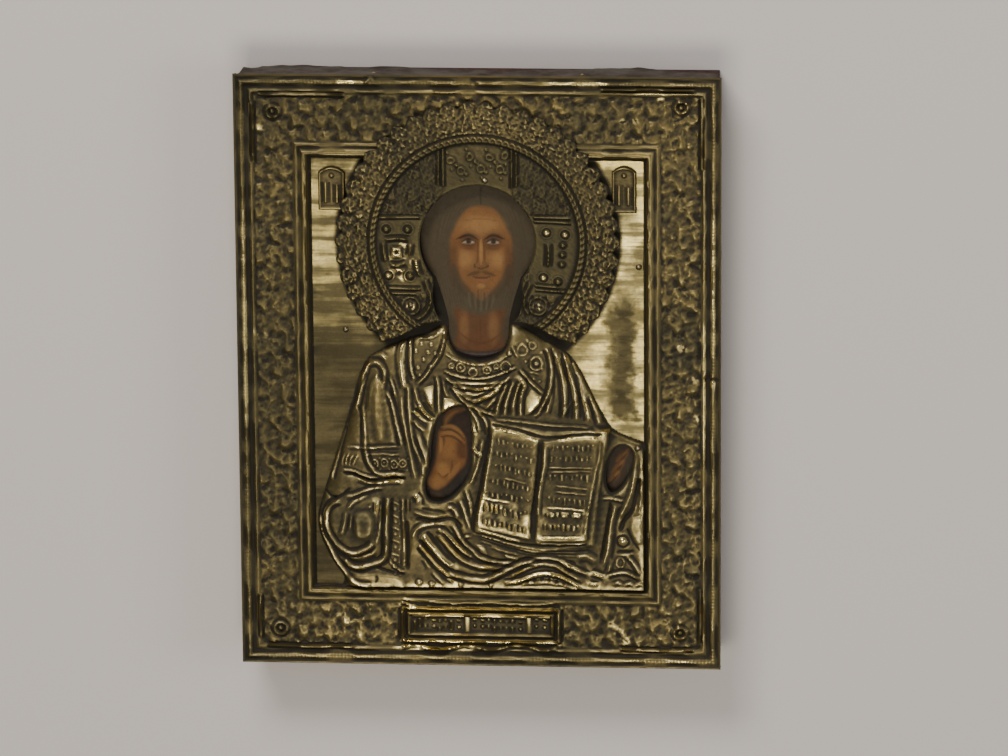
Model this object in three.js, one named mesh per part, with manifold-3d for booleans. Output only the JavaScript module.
// A small Orthodox icon: a painted wooden board under a pressed metal cover (an oklad).
// The cover leaves openings over the painted face and hands. A separate halo and two title plates
// lie on it, and small nails hold everything to the board.
// The icon lies on its back. X runs across it, Y towards its top and Z out of the picture.
// The origin is the middle of the back face.

import * as THREE from 'three';
import { mergeVertices } from 'three/addons/utils/BufferGeometryUtils.js';
import Module from 'manifold-3d';

const wasm = await Module();
wasm.setup();

// ---------------------------------------------------------------- driving dimensions, millimetres

const PANEL_WIDTH = 178;
const PANEL_HEIGHT = 223;
const BOARD_THICKNESS = 22;
const BOARD_RECESS = 2;
const SHEET = 0.5;
const GAP = 0.3;
const RIM_OVERHANG = 0.9;

const WINDOW = { left: -61.5, right: 61, bottom: -81.5, top: 80.5 };
const RECESS_MARGIN = 1.4;

const FIELD_BACK = BOARD_THICKNESS - BOARD_RECESS + GAP;
const FIELD = FIELD_BACK + SHEET;
const BORDER_BACK = BOARD_THICKNESS + GAP;
const BORDER = BORDER_BACK + SHEET;
const MOULDING_TOP = BORDER + 1.7;

const HALO = {
  x: 0, y: 50, opening: 21, ring: 38.4, ringWidth: 1.8, outer: 52.2,
  scallops: 46, scallopDepth: 1.7, sheet: 0.6, back: MOULDING_TOP + GAP,
};

const NAIL = { head: 1.3, rise: 0.5, shank: 0.5, hole: 1.0, inWood: 6 };
const NAIL_SIDES = 7;
const HOLE_SIDES = 6;

// ---------------------------------------------------------------- small helpers

const lerp = (a, b, t) => a + (b - a) * t;
const clamp01 = (t) => Math.min(1, Math.max(0, t));
const radians = (deg) => deg * Math.PI / 180;

function smooth(t) {
  const s = clamp01(t);
  return s * s * (3 - 2 * s);
}

function range(count) {
  return Array.from({ length: count }, (_, i) => i);
}

function spacing(from, to, cells) {
  return range(cells + 1).map((i) => lerp(from, to, i / cells));
}

// A smooth line through a few plan points.
function curveThrough(points, closed = false, samples = 28) {
  const controls = points.map(([x, y]) => new THREE.Vector3(x, y, 0));
  return new THREE.CatmullRomCurve3(controls, closed, 'centripetal').getPoints(samples);
}

function distanceToLine(x, y, line) {
  let best = Infinity;
  for (let i = 0; i + 1 < line.length; i += 1) {
    const a = line[i];
    const dx = line[i + 1].x - a.x;
    const dy = line[i + 1].y - a.y;
    const along = clamp01(((x - a.x) * dx + (y - a.y) * dy) / (dx * dx + dy * dy || 1));
    best = Math.min(best, Math.hypot(x - a.x - along * dx, y - a.y - along * dy));
  }
  return best;
}

// Distance to a closed outline, positive inside it.
function depthInside(x, y, outline) {
  let inside = false;
  for (let i = 0, j = outline.length - 1; i < outline.length; j = i, i += 1) {
    const a = outline[i];
    const b = outline[j];
    if ((a.y > y) !== (b.y > y) && x < (b.x - a.x) * (y - a.y) / (b.y - a.y) + a.x) inside = !inside;
  }
  const distance = distanceToLine(x, y, outline);
  return inside ? distance : -distance;
}

// ---------------------------------------------------------------- solids

function manifoldOf(positions, triangles) {
  const mesh = new wasm.Mesh({
    numProp: 3,
    vertProperties: Float32Array.from(positions),
    triVerts: Uint32Array.from(triangles),
  });
  return new wasm.Manifold(mesh);
}

function manifoldFrom(geometry) {
  const bare = geometry.clone();
  bare.deleteAttribute('normal');
  bare.deleteAttribute('uv');
  const merged = mergeVertices(bare, 1e-4);
  return manifoldOf(merged.attributes.position.array, merged.index.array);
}

function geometryOf(solid) {
  const mesh = solid.getMesh();
  const geometry = new THREE.BufferGeometry();
  geometry.setAttribute('position', new THREE.BufferAttribute(Float32Array.from(mesh.vertProperties), 3));
  geometry.setIndex(new THREE.BufferAttribute(Uint32Array.from(mesh.triVerts), 1));
  geometry.computeVertexNormals();
  return geometry;
}

// A closed skin over a grid of columns and rows: one point grid in front and one behind it.
// With wrap, the last column joins the first.
function skin(columns, rows, front, back, wrap = false) {
  const points = [];
  for (const side of [front, back]) {
    for (const i of range(columns)) for (const j of range(rows)) points.push(...side(i, j));
  }
  const half = columns * rows;
  const at = (i, j, side) => side * half + (i % columns) * rows + j;
  const triangles = [];
  const quad = (a, b, c, d) => triangles.push(a, b, c, a, c, d);
  const last = wrap ? columns : columns - 1;
  for (const i of range(last)) {
    for (const j of range(rows - 1)) {
      quad(at(i, j, 0), at(i + 1, j, 0), at(i + 1, j + 1, 0), at(i, j + 1, 0));
      quad(at(i, j, 1), at(i, j + 1, 1), at(i + 1, j + 1, 1), at(i + 1, j, 1));
    }
    quad(at(i, 0, 1), at(i + 1, 0, 1), at(i + 1, 0, 0), at(i, 0, 0));
    quad(at(i, rows - 1, 0), at(i + 1, rows - 1, 0), at(i + 1, rows - 1, 1), at(i, rows - 1, 1));
  }
  if (!wrap) {
    for (const j of range(rows - 1)) {
      quad(at(0, j, 0), at(0, j + 1, 0), at(0, j + 1, 1), at(0, j, 1));
      quad(at(last, j, 1), at(last, j + 1, 1), at(last, j + 1, 0), at(last, j, 0));
    }
  }
  return manifoldOf(points, triangles);
}

function heightSlab(xs, ys, top, bottom) {
  const point = (height) => (i, j) => [xs[i], ys[j], height(xs[i], ys[j])];
  return skin(xs.length, ys.length, point(top), point(bottom));
}

function prism(shape, low, high, segments = 10) {
  const options = { depth: high - low, bevelEnabled: false, curveSegments: segments };
  const geometry = new THREE.ExtrudeGeometry(shape, options);
  geometry.translate(0, 0, low);
  return manifoldFrom(geometry);
}

function shapeOf(points) {
  return new THREE.Shape(points.map((p) => new THREE.Vector2(p.x ?? p[0], p.y ?? p[1])));
}

function box(x0, x1, y0, y1, z0, z1) {
  return prism(shapeOf([[x0, y0], [x1, y0], [x1, y1], [x0, y1]]), z0, z1);
}

// ---------------------------------------------------------------- the composition, in plan

const FIGURE = curveThrough([
  [-12.5, 18.5], [-19, 15.5], [-27, 13], [-37, 9], [-42.5, 3.5], [-46, -8], [-50, -22], [-54.5, -36],
  [-58.5, -47], [-60.5, -55], [-59.5, -63], [-55, -72], [-50, -78], [-49, -86], [30, -86], [66, -86],
  [66, -26], [58, -24], [50, -20.5], [45.5, -14], [41.5, -6], [37.5, 2], [33, 8], [25, 13], [12.5, 19],
  [6, 12], [0, 10], [-6, 12],
], true, 120);

const BOOK_LEFT_PAGE = [[4.5, -19.5], [22, -23.5], [20, -63], [-1, -58.5]];
const BOOK_RIGHT_PAGE = [[24, -23.5], [47, -21.5], [41, -62], [21.5, -63]];
const BOOK_BLOCK = [[4, -17], [24, -21], [49, -19], [42, -65], [20, -67.5], [-2.5, -61]];

const HAND = curveThrough([
  [-5.5, -12.5], [-3.2, -18], [-3, -27], [-3.5, -36], [-7, -43], [-13, -48], [-18.5, -47.5], [-20, -42],
  [-18, -34], [-17.5, -26], [-15.5, -18], [-10.5, -13.2],
], true, 28);

const FINGERS = curveThrough([
  [53.5, -26.5], [56.5, -29.5], [55.5, -36], [52, -42], [48.5, -44], [46.8, -40], [47.5, -33], [50, -28],
], true, 20);

// Folds and raised bands of the robe: the line each follows, its half width and its rise.
const FOLDS = [
  { line: [[-43, 3], [-48, -14], [-53, -30], [-56, -41]], half: 2.2, rise: 1.1 },
  { line: [[-37, 6], [-42, -8], [-43.5, -25], [-41, -35], [-37, -39]], half: 1.8, rise: 1.0 },
  { line: [[-36, 4], [-32, -8], [-30, -22], [-27, -38]], half: 1.8, rise: 1.0 },
  { line: [[-50, -37.5], [-42, -39.5], [-34, -39.5], [-27, -39]], half: 1.8, rise: 1.2 },
  { line: [[-34, -42], [-46, -45], [-56, -50], [-58, -58], [-54, -68], [-46, -74], [-36, -71]],
    half: 2.4, rise: 1.4 },
  { line: [[-36, -48], [-48, -50], [-53, -58], [-48, -66], [-38, -66]], half: 2.2, rise: 1.0 },
  { line: [[-34.5, -45], [-34.5, -72]], half: 1.6, rise: 0.9 },
  { line: [[-26.5, -47], [-27.5, -74]], half: 1.6, rise: 0.9 },
  { line: [[-24, 9], [-24, 3], [-20, -4], [-12, -12]], half: 2.2, rise: 1.3 },
  { line: [[15, 8], [20, 1], [24, -6], [19, -14]], half: 2.2, rise: 1.3 },
  { line: [[27, 6], [31, -4], [36, -15]], half: 2.0, rise: 1.0 },
  { line: [[33, 4], [39, -6], [45, -17]], half: 2.0, rise: 1.0 },
  { line: [[-24, -60], [-18, -70], [-8, -77], [2, -78.5], [12, -76], [24, -72], [33, -74], [40, -79]],
    half: 2.2, rise: 1.5 },
  { line: [[-20, -57], [-14, -66], [-5, -73], [6, -73.5]], half: 2.0, rise: 1.5 },
  { line: [[-13, -56], [-7, -64], [2, -70], [12, -71]], half: 2.0, rise: 1.4 },
  { line: [[59, -38], [54, -52], [50, -64], [47, -78]], half: 2.2, rise: 1.3 },
  { line: [[-13, 2], [-6, -1.5], [0, -2.5], [6, -1.5], [13, 3]], half: 2.6, rise: 1.3 },
].map((fold) => ({ ...fold, line: curveThrough(fold.line) }));

const FIGURE_RISE = 4.0;
const FIGURE_SHOULDER = 4.5;
const FOLD_FADE = 3;
const BOOK_RISE = 5.4;
const PAGE_RISE = 0.6;
const HALO_CLEARANCE = 4.5;

// ---------------------------------------------------------------- halo, in plan

const haloOpening = (angle) => {
  const fromTop = Math.abs(angle - 90);
  return HALO.opening + 9 * smooth((fromTop - 128) / 24) + 3 * smooth((fromTop - 145) / 15);
};

const haloEnd = { inner: 156, outer: 136.5 };

function haloPoint(x, y) {
  const dx = x - HALO.x;
  const dy = y - HALO.y;
  const radius = Math.hypot(dx, dy);
  const fromTop = Math.abs(Math.atan2(dx, dy)) * 180 / Math.PI;
  const share = clamp01((radius - HALO.opening) / (HALO.outer - HALO.opening));
  return { radius, beyondEnd: fromTop - lerp(haloEnd.inner, haloEnd.outer, share) };
}

// True where the halo covers the sheet, or is nearer than the margin.
function underHalo(x, y, margin) {
  const { radius, beyondEnd } = haloPoint(x, y);
  return radius < HALO.outer + margin && radians(beyondEnd) * radius < margin;
}

// ---------------------------------------------------------------- relief of the cover

function bookRelief(x, y) {
  const block = depthInside(x, y, BOOK_BLOCK.map(([px, py]) => ({ x: px, y: py })));
  if (block < 0) return 0;
  const pages = [BOOK_LEFT_PAGE, BOOK_RIGHT_PAGE].map((page) => (
    depthInside(x, y, page.map(([px, py]) => ({ x: px, y: py })))
  ));
  return lerp(FIGURE_RISE, BOOK_RISE, smooth(block / 2)) + PAGE_RISE * smooth(Math.max(...pages) / 1.5);
}

function relief(x, y) {
  const depth = depthInside(x, y, FIGURE);
  if (depth < 0) return FIELD;
  let rise = FIGURE_RISE * (1 - Math.exp(-depth / FIGURE_SHOULDER));
  for (const fold of FOLDS) {
    const away = distanceToLine(x, y, fold.line) / fold.half;
    rise += fold.rise * Math.exp(-away * away) * smooth(depth / FOLD_FADE);
  }
  rise = Math.max(rise, bookRelief(x, y));
  const height = FIELD + rise;
  const clear = HALO.back - 2 * GAP;
  return underHalo(x, y, HALO_CLEARANCE) ? Math.min(height, clear) : height;
}

const GRID = { columns: 31, rows: 41 };
const HOLLOW = { columns: 15, rows: 20 };

// The hollow behind the relief follows the lowest front point near it, one wall thickness down.
function hollowTop(x, y) {
  const reach = 3.2;
  const wall = 0.9;
  let low = Infinity;
  for (const dx of [-reach, 0, reach]) {
    for (const dy of [-reach, 0, reach]) low = Math.min(low, relief(x + dx, y + dy));
  }
  const top = low - wall;
  return top > FIELD_BACK + 0.4 ? top : FIELD_BACK - 0.5;
}

function makeCentre() {
  const skirt = SHEET;
  const xs = spacing(WINDOW.left - skirt, WINDOW.right + skirt, GRID.columns);
  const ys = spacing(WINDOW.bottom - skirt, WINDOW.top + skirt, GRID.rows);
  const sheet = heightSlab(xs, ys, relief, () => FIELD_BACK);
  const hollowX = spacing(WINDOW.left + 1, WINDOW.right - 1, HOLLOW.columns);
  const hollowY = spacing(WINDOW.bottom + 1, WINDOW.top - 1, HOLLOW.rows);
  return sheet.subtract(heightSlab(hollowX, hollowY, hollowTop, () => FIELD_BACK - 1));
}

// ---------------------------------------------------------------- border of the cover

// How far the wider top and bottom borders reach in beyond the side ones.
const SIDE_BORDER = PANEL_WIDTH / 2 - WINDOW.right;
const EXTRA = {
  left: PANEL_WIDTH / 2 + WINDOW.left - SIDE_BORDER,
  top: PANEL_HEIGHT / 2 - WINDOW.top - SIDE_BORDER,
  bottom: PANEL_HEIGHT / 2 + WINDOW.bottom - SIDE_BORDER,
};
const BAND = { outer: 6.8, inner: 22.4 };

// The rectangle that lies the given distance in from the rim.
function frameAt(inward) {
  const share = smooth((inward - BAND.outer) / (BAND.inner - BAND.outer));
  return {
    left: -PANEL_WIDTH / 2 + inward + EXTRA.left * share,
    right: PANEL_WIDTH / 2 - inward,
    top: PANEL_HEIGHT / 2 - inward - EXTRA.top * share,
    bottom: -PANEL_HEIGHT / 2 + inward + EXTRA.bottom * share,
  };
}

// Points round a rectangle, starting at its lower left corner and going counter-clockwise.
function roundFrame({ left, right, top, bottom }, across, up) {
  return [
    ...spacing(0, 1, across).slice(0, -1).map((t) => [lerp(left, right, t), bottom]),
    ...spacing(0, 1, up).slice(0, -1).map((t) => [right, lerp(bottom, top, t)]),
    ...spacing(0, 1, across).slice(0, -1).map((t) => [lerp(right, left, t), top]),
    ...spacing(0, 1, up).slice(0, -1).map((t) => [left, lerp(top, bottom, t)]),
  ];
}

// A mitred frame whose front and back follow the given profiles of [distance in from the rim, height].
function mitredFrame(front, back, across = 1, up = 1) {
  const rings = [front, back].map((side) => side.map(([inward]) => (
    roundFrame(frameAt(inward), across, up)
  )));
  const point = (side, profile) => (i, j) => {
    const height = profile[j][1];
    const [x, y] = rings[side][j][i];
    return [x, y, typeof height === 'function' ? height(i, x, y) : height];
  };
  return skin(2 * (across + up), front.length, point(0, front), point(1, back), true);
}

const MOULDING_FRONT = [
  [RIM_OVERHANG, BORDER_BACK - 0.8], [0, BORDER + 0.2], [0.5, BORDER + 1.2], [1.8, BORDER + 1.6],
  [3.2, BORDER + 1.2], [3.9, BORDER + 0.1], [5.1, BORDER + 0.1], [5.9, BORDER + 0.8], [BAND.outer, BORDER],
  [BAND.inner, BORDER], [23.0, BORDER + 0.8], [23.8, BORDER + 0.3], [24.6, BORDER + 1.5],
  [26.0, MOULDING_TOP], [27.2, BORDER + 1.2], [SIDE_BORDER, BORDER + 0.4], [SIDE_BORDER, FIELD - 0.1],
];
const MOULDING_BACK = MOULDING_FRONT.map(([inward], index) => {
  if (index === 0) return [RIM_OVERHANG + SHEET, BORDER_BACK - 0.8];
  if (index === MOULDING_FRONT.length - 1) return [SIDE_BORDER - SHEET, FIELD_BACK];
  const outermost = RIM_OVERHANG + SHEET + 0.02 * index;
  return [Math.min(Math.max(inward, outermost), SIDE_BORDER - SHEET), BORDER_BACK];
});

const CARTOUCHE = { left: -29, right: 29, bottom: -102, top: -89.5, rise: 1.1 };
const FLORETS = { across: 18, up: 24, rise: 1.3 };

function onCartouche(x, y) {
  const margin = 3;
  return y < CARTOUCHE.top + margin && y > CARTOUCHE.bottom - margin
    && x > CARTOUCHE.left - margin && x < CARTOUCHE.right + margin;
}

// Florets stand in staggered rows over the flat band: every second point of its grid is raised.
function makeFloretBand() {
  const ground = BORDER + 0.1;
  const floret = (row) => (i, x, y) => {
    const raised = (i + row) % 2 === 0 && !onCartouche(x, y) && !underHalo(x, y, 5);
    return raised ? ground + FLORETS.rise : ground;
  };
  const front = [
    [BAND.outer + 0.2, ground], [9.0, floret(0)], [14.1, floret(1)], [18.9, floret(0)],
    [BAND.inner - 0.2, ground],
  ];
  const back = front.map(([inward]) => [inward, BORDER - 0.2]);
  return mitredFrame(front, back, FLORETS.across, FLORETS.up);
}

function makeCartouche() {
  const { left, right, bottom, top, rise } = CARTOUCHE;
  const frame = 1.4;
  const plate = box(left, right, bottom, top, BORDER - 0.2, BORDER + rise);
  const sunkFloor = BORDER + rise - 0.5;
  const panel = box(left + frame, right - frame, bottom + frame, top - frame, sunkFloor, BORDER + 3);
  return plate.subtract(panel);
}

// Edges of the sheet folded down over the sides of the board, cut by hand.
// Each strip is drawn along the side, u, and up, z, then stood against that side.
const FOLD_TOP = BORDER_BACK;
const STRIPS = {
  top: {
    length: PANEL_HEIGHT / 2, turn: 0, holes: [-38, 38],
    edge: [[-85, 6], [-70, 2.5], [-48, 3], [-28, 4], [-15, 6], [-6, 9], [8, 11], [18, 8], [36, 5], [58, 1.5],
      [66, 3], [75, 8], [86, 14]],
  },
  right: {
    length: PANEL_WIDTH / 2,
    turn: -90,
    holes: [-62, 58],
    edge: [[-106, 12], [-40, 9], [30, 10], [106, 12]],
  },
  left: {
    length: PANEL_WIDTH / 2,
    turn: 90,
    holes: [-58, 62],
    edge: [[-106, 11], [-30, 10], [40, 9], [106, 12]],
  },
  bottom: { length: PANEL_HEIGHT / 2, turn: 180, holes: [], edge: [[-85, 8], [-30, 6], [25, 7], [85, 9]] },
};
const STRIP_NAIL_HEIGHT = 17;

// Turns a solid drawn with u along X, height along Y and thickness along Z so that it stands on a side.
function standOnSide(solid, { length, turn }) {
  return solid.rotate([90, 0, 0]).translate([0, length - RIM_OVERHANG, 0]).rotate([0, 0, turn]);
}

function makeStrip(strip) {
  const first = strip.edge[0][0];
  const last = strip.edge[strip.edge.length - 1][0];
  const lower = curveThrough(strip.edge, false, 16);
  const outline = [...lower.map((p) => [p.x, p.y]), [last, FOLD_TOP], [first, FOLD_TOP]];
  return standOnSide(prism(shapeOf(outline), 0, SHEET), strip);
}

// ---------------------------------------------------------------- openings and nail holes

function faceOpening(grow) {
  const radius = HALO.opening + grow;
  const shape = new THREE.Shape();
  const neck = 11 + grow;
  shape.absarc(HALO.x, HALO.y, radius, radians(-42), radians(222), false);
  shape.bezierCurveTo(-14 - grow, 28, -neck - 1, 24, -neck, 18);
  shape.bezierCurveTo(-neck, 10, -6, 5.2 - grow, 0, 5.2 - grow);
  shape.bezierCurveTo(6, 5.2 - grow, neck, 10, neck, 18);
  shape.bezierCurveTo(neck + 1, 24, 14 + grow, 28, HALO.x + radius * Math.cos(radians(-42)),
    HALO.y + radius * Math.sin(radians(-42)));
  return shape;
}

const NAILS = [
  { name: 'nail_halo_top', x: 3, y: 73.2, on: 'halo' },
  { name: 'nail_halo_left', x: -24.5, y: 26.5, on: 'halo' },
  { name: 'nail_halo_right', x: 22.5, y: 26.8, on: 'halo' },
  { name: 'nail_field_left', x: -49, y: 15.8, on: 'cover' },
  { name: 'nail_field_right', x: 58.8, y: 40.5, on: 'cover' },
  { name: 'nail_field_lower', x: 58.4, y: -27.2, on: 'cover' },
];

const SIDE_NAILS = ['top', 'right', 'left'].flatMap((side) => (
  STRIPS[side].holes.map((along, index) => ({ name: `nail_${side}_${index + 1}`, side, along }))
));

function hole(from, to) {
  const geometry = new THREE.CylinderGeometry(NAIL.hole, NAIL.hole, to - from, HOLE_SIDES);
  geometry.rotateX(Math.PI / 2).translate(0, 0, (from + to) / 2);
  return manifoldFrom(geometry);
}

function frontHole({ x, y }) {
  return hole(BOARD_THICKNESS - BOARD_RECESS - NAIL.inWood - 1, 40).translate([x, y, 0]);
}

function sideHole({ side, along }) {
  const bore = hole(-2, NAIL.inWood + SHEET + GAP + 1).translate([along, STRIP_NAIL_HEIGHT, 0]);
  return standOnSide(bore, STRIPS[side]);
}

function cutHoles(solid, front, beside = []) {
  const cutters = [...front.map(frontHole), ...beside.map(sideHole)];
  return cutters.reduce((left, cutter) => left.subtract(cutter), solid);
}

// ---------------------------------------------------------------- the pieces

function makeCover() {
  let cover = mitredFrame(MOULDING_FRONT, MOULDING_BACK)
    .add(makeFloretBand())
    .add(makeCentre())
    .add(makeCartouche());
  for (const strip of Object.values(STRIPS)) cover = cover.add(makeStrip(strip));
  for (const opening of [faceOpening(0.5), shapeOf(HAND), shapeOf(FINGERS)]) {
    cover = cover.subtract(prism(opening, FIELD_BACK - 1, 40, 12));
  }
  return cutHoles(cover, NAILS, SIDE_NAILS);
}

// The height of the halo's front: a raised ring, a sunken inner zone and an outer zone that slopes down.
function haloFront(radius) {
  const base = HALO.back + HALO.sheet;
  const ring = Math.max(0, 1 - Math.abs(radius - HALO.ring) / HALO.ringWidth);
  const outerZone = 0.9 * smooth((radius - HALO.ring) / 2) * (1 - smooth((radius - 46) / 7));
  return base + 1.5 * Math.sqrt(ring) + outerZone;
}

function haloSector(levels, columns, outer) {
  const at = (level, i) => {
    const share = (level - HALO.opening) / (HALO.outer - HALO.opening);
    const end = lerp(haloEnd.inner, haloEnd.outer, share);
    const angle = 90 + lerp(-end, end, i / (columns - 1));
    const inner = haloOpening(angle);
    const plain = inner + (level - HALO.opening) * (HALO.outer - inner) / (HALO.outer - HALO.opening);
    const keepRing = smooth((level - HALO.opening) / (HALO.ring - HALO.ringWidth - HALO.opening));
    const radius = lerp(plain, level, keepRing) * (level === HALO.outer ? outer(i) : 1);
    return [HALO.x + radius * Math.cos(radians(angle)), HALO.y + radius * Math.sin(radians(angle))];
  };
  const front = (i, j) => [...at(levels[j], i), haloFront(levels[j])];
  const back = (i, j) => [...at(levels[j], i), HALO.back];
  return skin(columns, levels.length, back, front);
}

function makeHalo() {
  const stepsInLobe = 3;
  const columns = Math.round(HALO.scallops * 2 * haloEnd.outer / 360) * stepsInLobe + 1;
  const scallopShare = HALO.scallopDepth / HALO.outer;
  const lobe = (i) => 1 - scallopShare * (1 - Math.sin(Math.PI * (i % stepsInLobe) / stepsInLobe));
  const inner = haloSector([HALO.opening, 36.4, HALO.ring, 40.4], 51, () => 1);
  const outer = haloSector([40.2, HALO.outer], columns, lobe);
  return cutHoles(inner.add(outer), NAILS.filter((nail) => nail.on === 'halo'));
}

function makeBoard() {
  const reach = RIM_OVERHANG + SHEET + GAP;
  const halfWidth = PANEL_WIDTH / 2 - reach;
  const halfHeight = PANEL_HEIGHT / 2 - reach;
  const worn = 2.4;
  const soft = 0.8;
  const outline = shapeOf([
    [-halfWidth + soft, -halfHeight], [halfWidth - soft, -halfHeight], [halfWidth, -halfHeight + soft],
    [halfWidth, halfHeight - soft], [halfWidth - soft, halfHeight], [-halfWidth + 2 * worn, halfHeight],
    [-halfWidth + worn, halfHeight - 0.7], [-halfWidth + 0.6, halfHeight - worn],
    [-halfWidth, halfHeight - 2 * worn], [-halfWidth, -halfHeight + soft],
  ]);
  const recess = box(
    WINDOW.left - RECESS_MARGIN, WINDOW.right + RECESS_MARGIN,
    WINDOW.bottom - RECESS_MARGIN, WINDOW.top + RECESS_MARGIN,
    BOARD_THICKNESS - BOARD_RECESS, BOARD_THICKNESS + 1,
  );
  return cutHoles(prism(outline, 0, BOARD_THICKNESS).subtract(recess), NAILS, SIDE_NAILS);
}

// A small plate with a raised edge, its top drawn up into a low arch.
function makeTitlePlate({ left, right, bottom, top, arch }) {
  const outlineAt = (inset) => {
    const shape = new THREE.Shape();
    shape.moveTo(left + inset, bottom + inset);
    shape.lineTo(right - inset, bottom + inset);
    shape.lineTo(right - inset, top - inset);
    shape.quadraticCurveTo(arch, top + 3 - inset, left + inset, top - inset);
    shape.closePath();
    return shape;
  };
  const low = FIELD + GAP;
  const plate = prism(outlineAt(0), low, low + 1.5, 6);
  return plate.subtract(prism(outlineAt(1), low + 0.9, low + 3, 6));
}

// A nail along Z: the underside of its domed head is at height 0 and its shank goes down.
function nailGeometry(length) {
  const profile = [
    [0, -length], [NAIL.shank, -length + 1], [NAIL.shank, 0], [NAIL.head, 0],
    [NAIL.head * 0.8, NAIL.rise * 0.65], [0, NAIL.rise],
  ].map(([r, z]) => new THREE.Vector2(r, z));
  const geometry = new THREE.LatheGeometry(profile, NAIL_SIDES).rotateX(Math.PI / 2);
  return geometryOf(manifoldFrom(geometry));
}

// The highest point of the metal under a nail's head.
function seatOf({ x, y, on }) {
  if (on === 'halo') return haloFront(Math.hypot(x - HALO.x, y - HALO.y)) + 0.1;
  const reach = 2.5;
  const around = range(8).map((k) => (
    relief(x + reach * Math.cos(k * Math.PI / 4), y + reach * Math.sin(k * Math.PI / 4))
  ));
  return Math.max(...around, relief(x, y));
}

// ---------------------------------------------------------------- materials and the assembled icon

function metal(color, roughness) {
  return new THREE.MeshStandardMaterial({ color, roughness, metalness: 1 });
}
const gilt = metal(0x8a7a4e, 0.42);
const haloGilt = metal(0x857346, 0.45);
const plateGilt = metal(0x7d6c42, 0.45);
const nailMetal = metal(0x5d5034, 0.5);
const wood = new THREE.MeshStandardMaterial({ color: 0x3b2422, roughness: 0.75, metalness: 0 });

const icon = new THREE.Group();

function place(name, geometry, material) {
  const mesh = new THREE.Mesh(geometry, material);
  mesh.name = name;
  icon.add(mesh);
  return mesh;
}

place('board', geometryOf(makeBoard()), wood);
place('cover', geometryOf(makeCover()), gilt);
place('halo', geometryOf(makeHalo()), haloGilt);
place('title_plate_left', geometryOf(makeTitlePlate({
  left: -58.3, right: -48.5, bottom: 60.8, top: 75.5, arch: -53.5,
})), plateGilt);
place('title_plate_right', geometryOf(makeTitlePlate({
  left: 49, right: 58, bottom: 60.8, top: 76.5, arch: 53.5,
})), plateGilt);

for (const nail of NAILS) {
  const seat = seatOf(nail) + GAP;
  const geometry = nailGeometry(seat - (BOARD_THICKNESS - BOARD_RECESS) + NAIL.inWood);
  place(nail.name, geometry, nailMetal).position.set(nail.x, nail.y, seat);
}

for (const { name, side, along } of SIDE_NAILS) {
  const mesh = place(name, nailGeometry(NAIL.inWood + SHEET + 2 * GAP), nailMetal);
  const { length, turn } = STRIPS[side];
  const angle = radians(turn);
  const out = length - RIM_OVERHANG + GAP;
  mesh.rotation.set(-Math.PI / 2, 0, angle, 'ZXY');
  mesh.position.set(
    along * Math.cos(angle) - out * Math.sin(angle),
    along * Math.sin(angle) + out * Math.cos(angle),
    STRIP_NAIL_HEIGHT,
  );
}

export default icon;
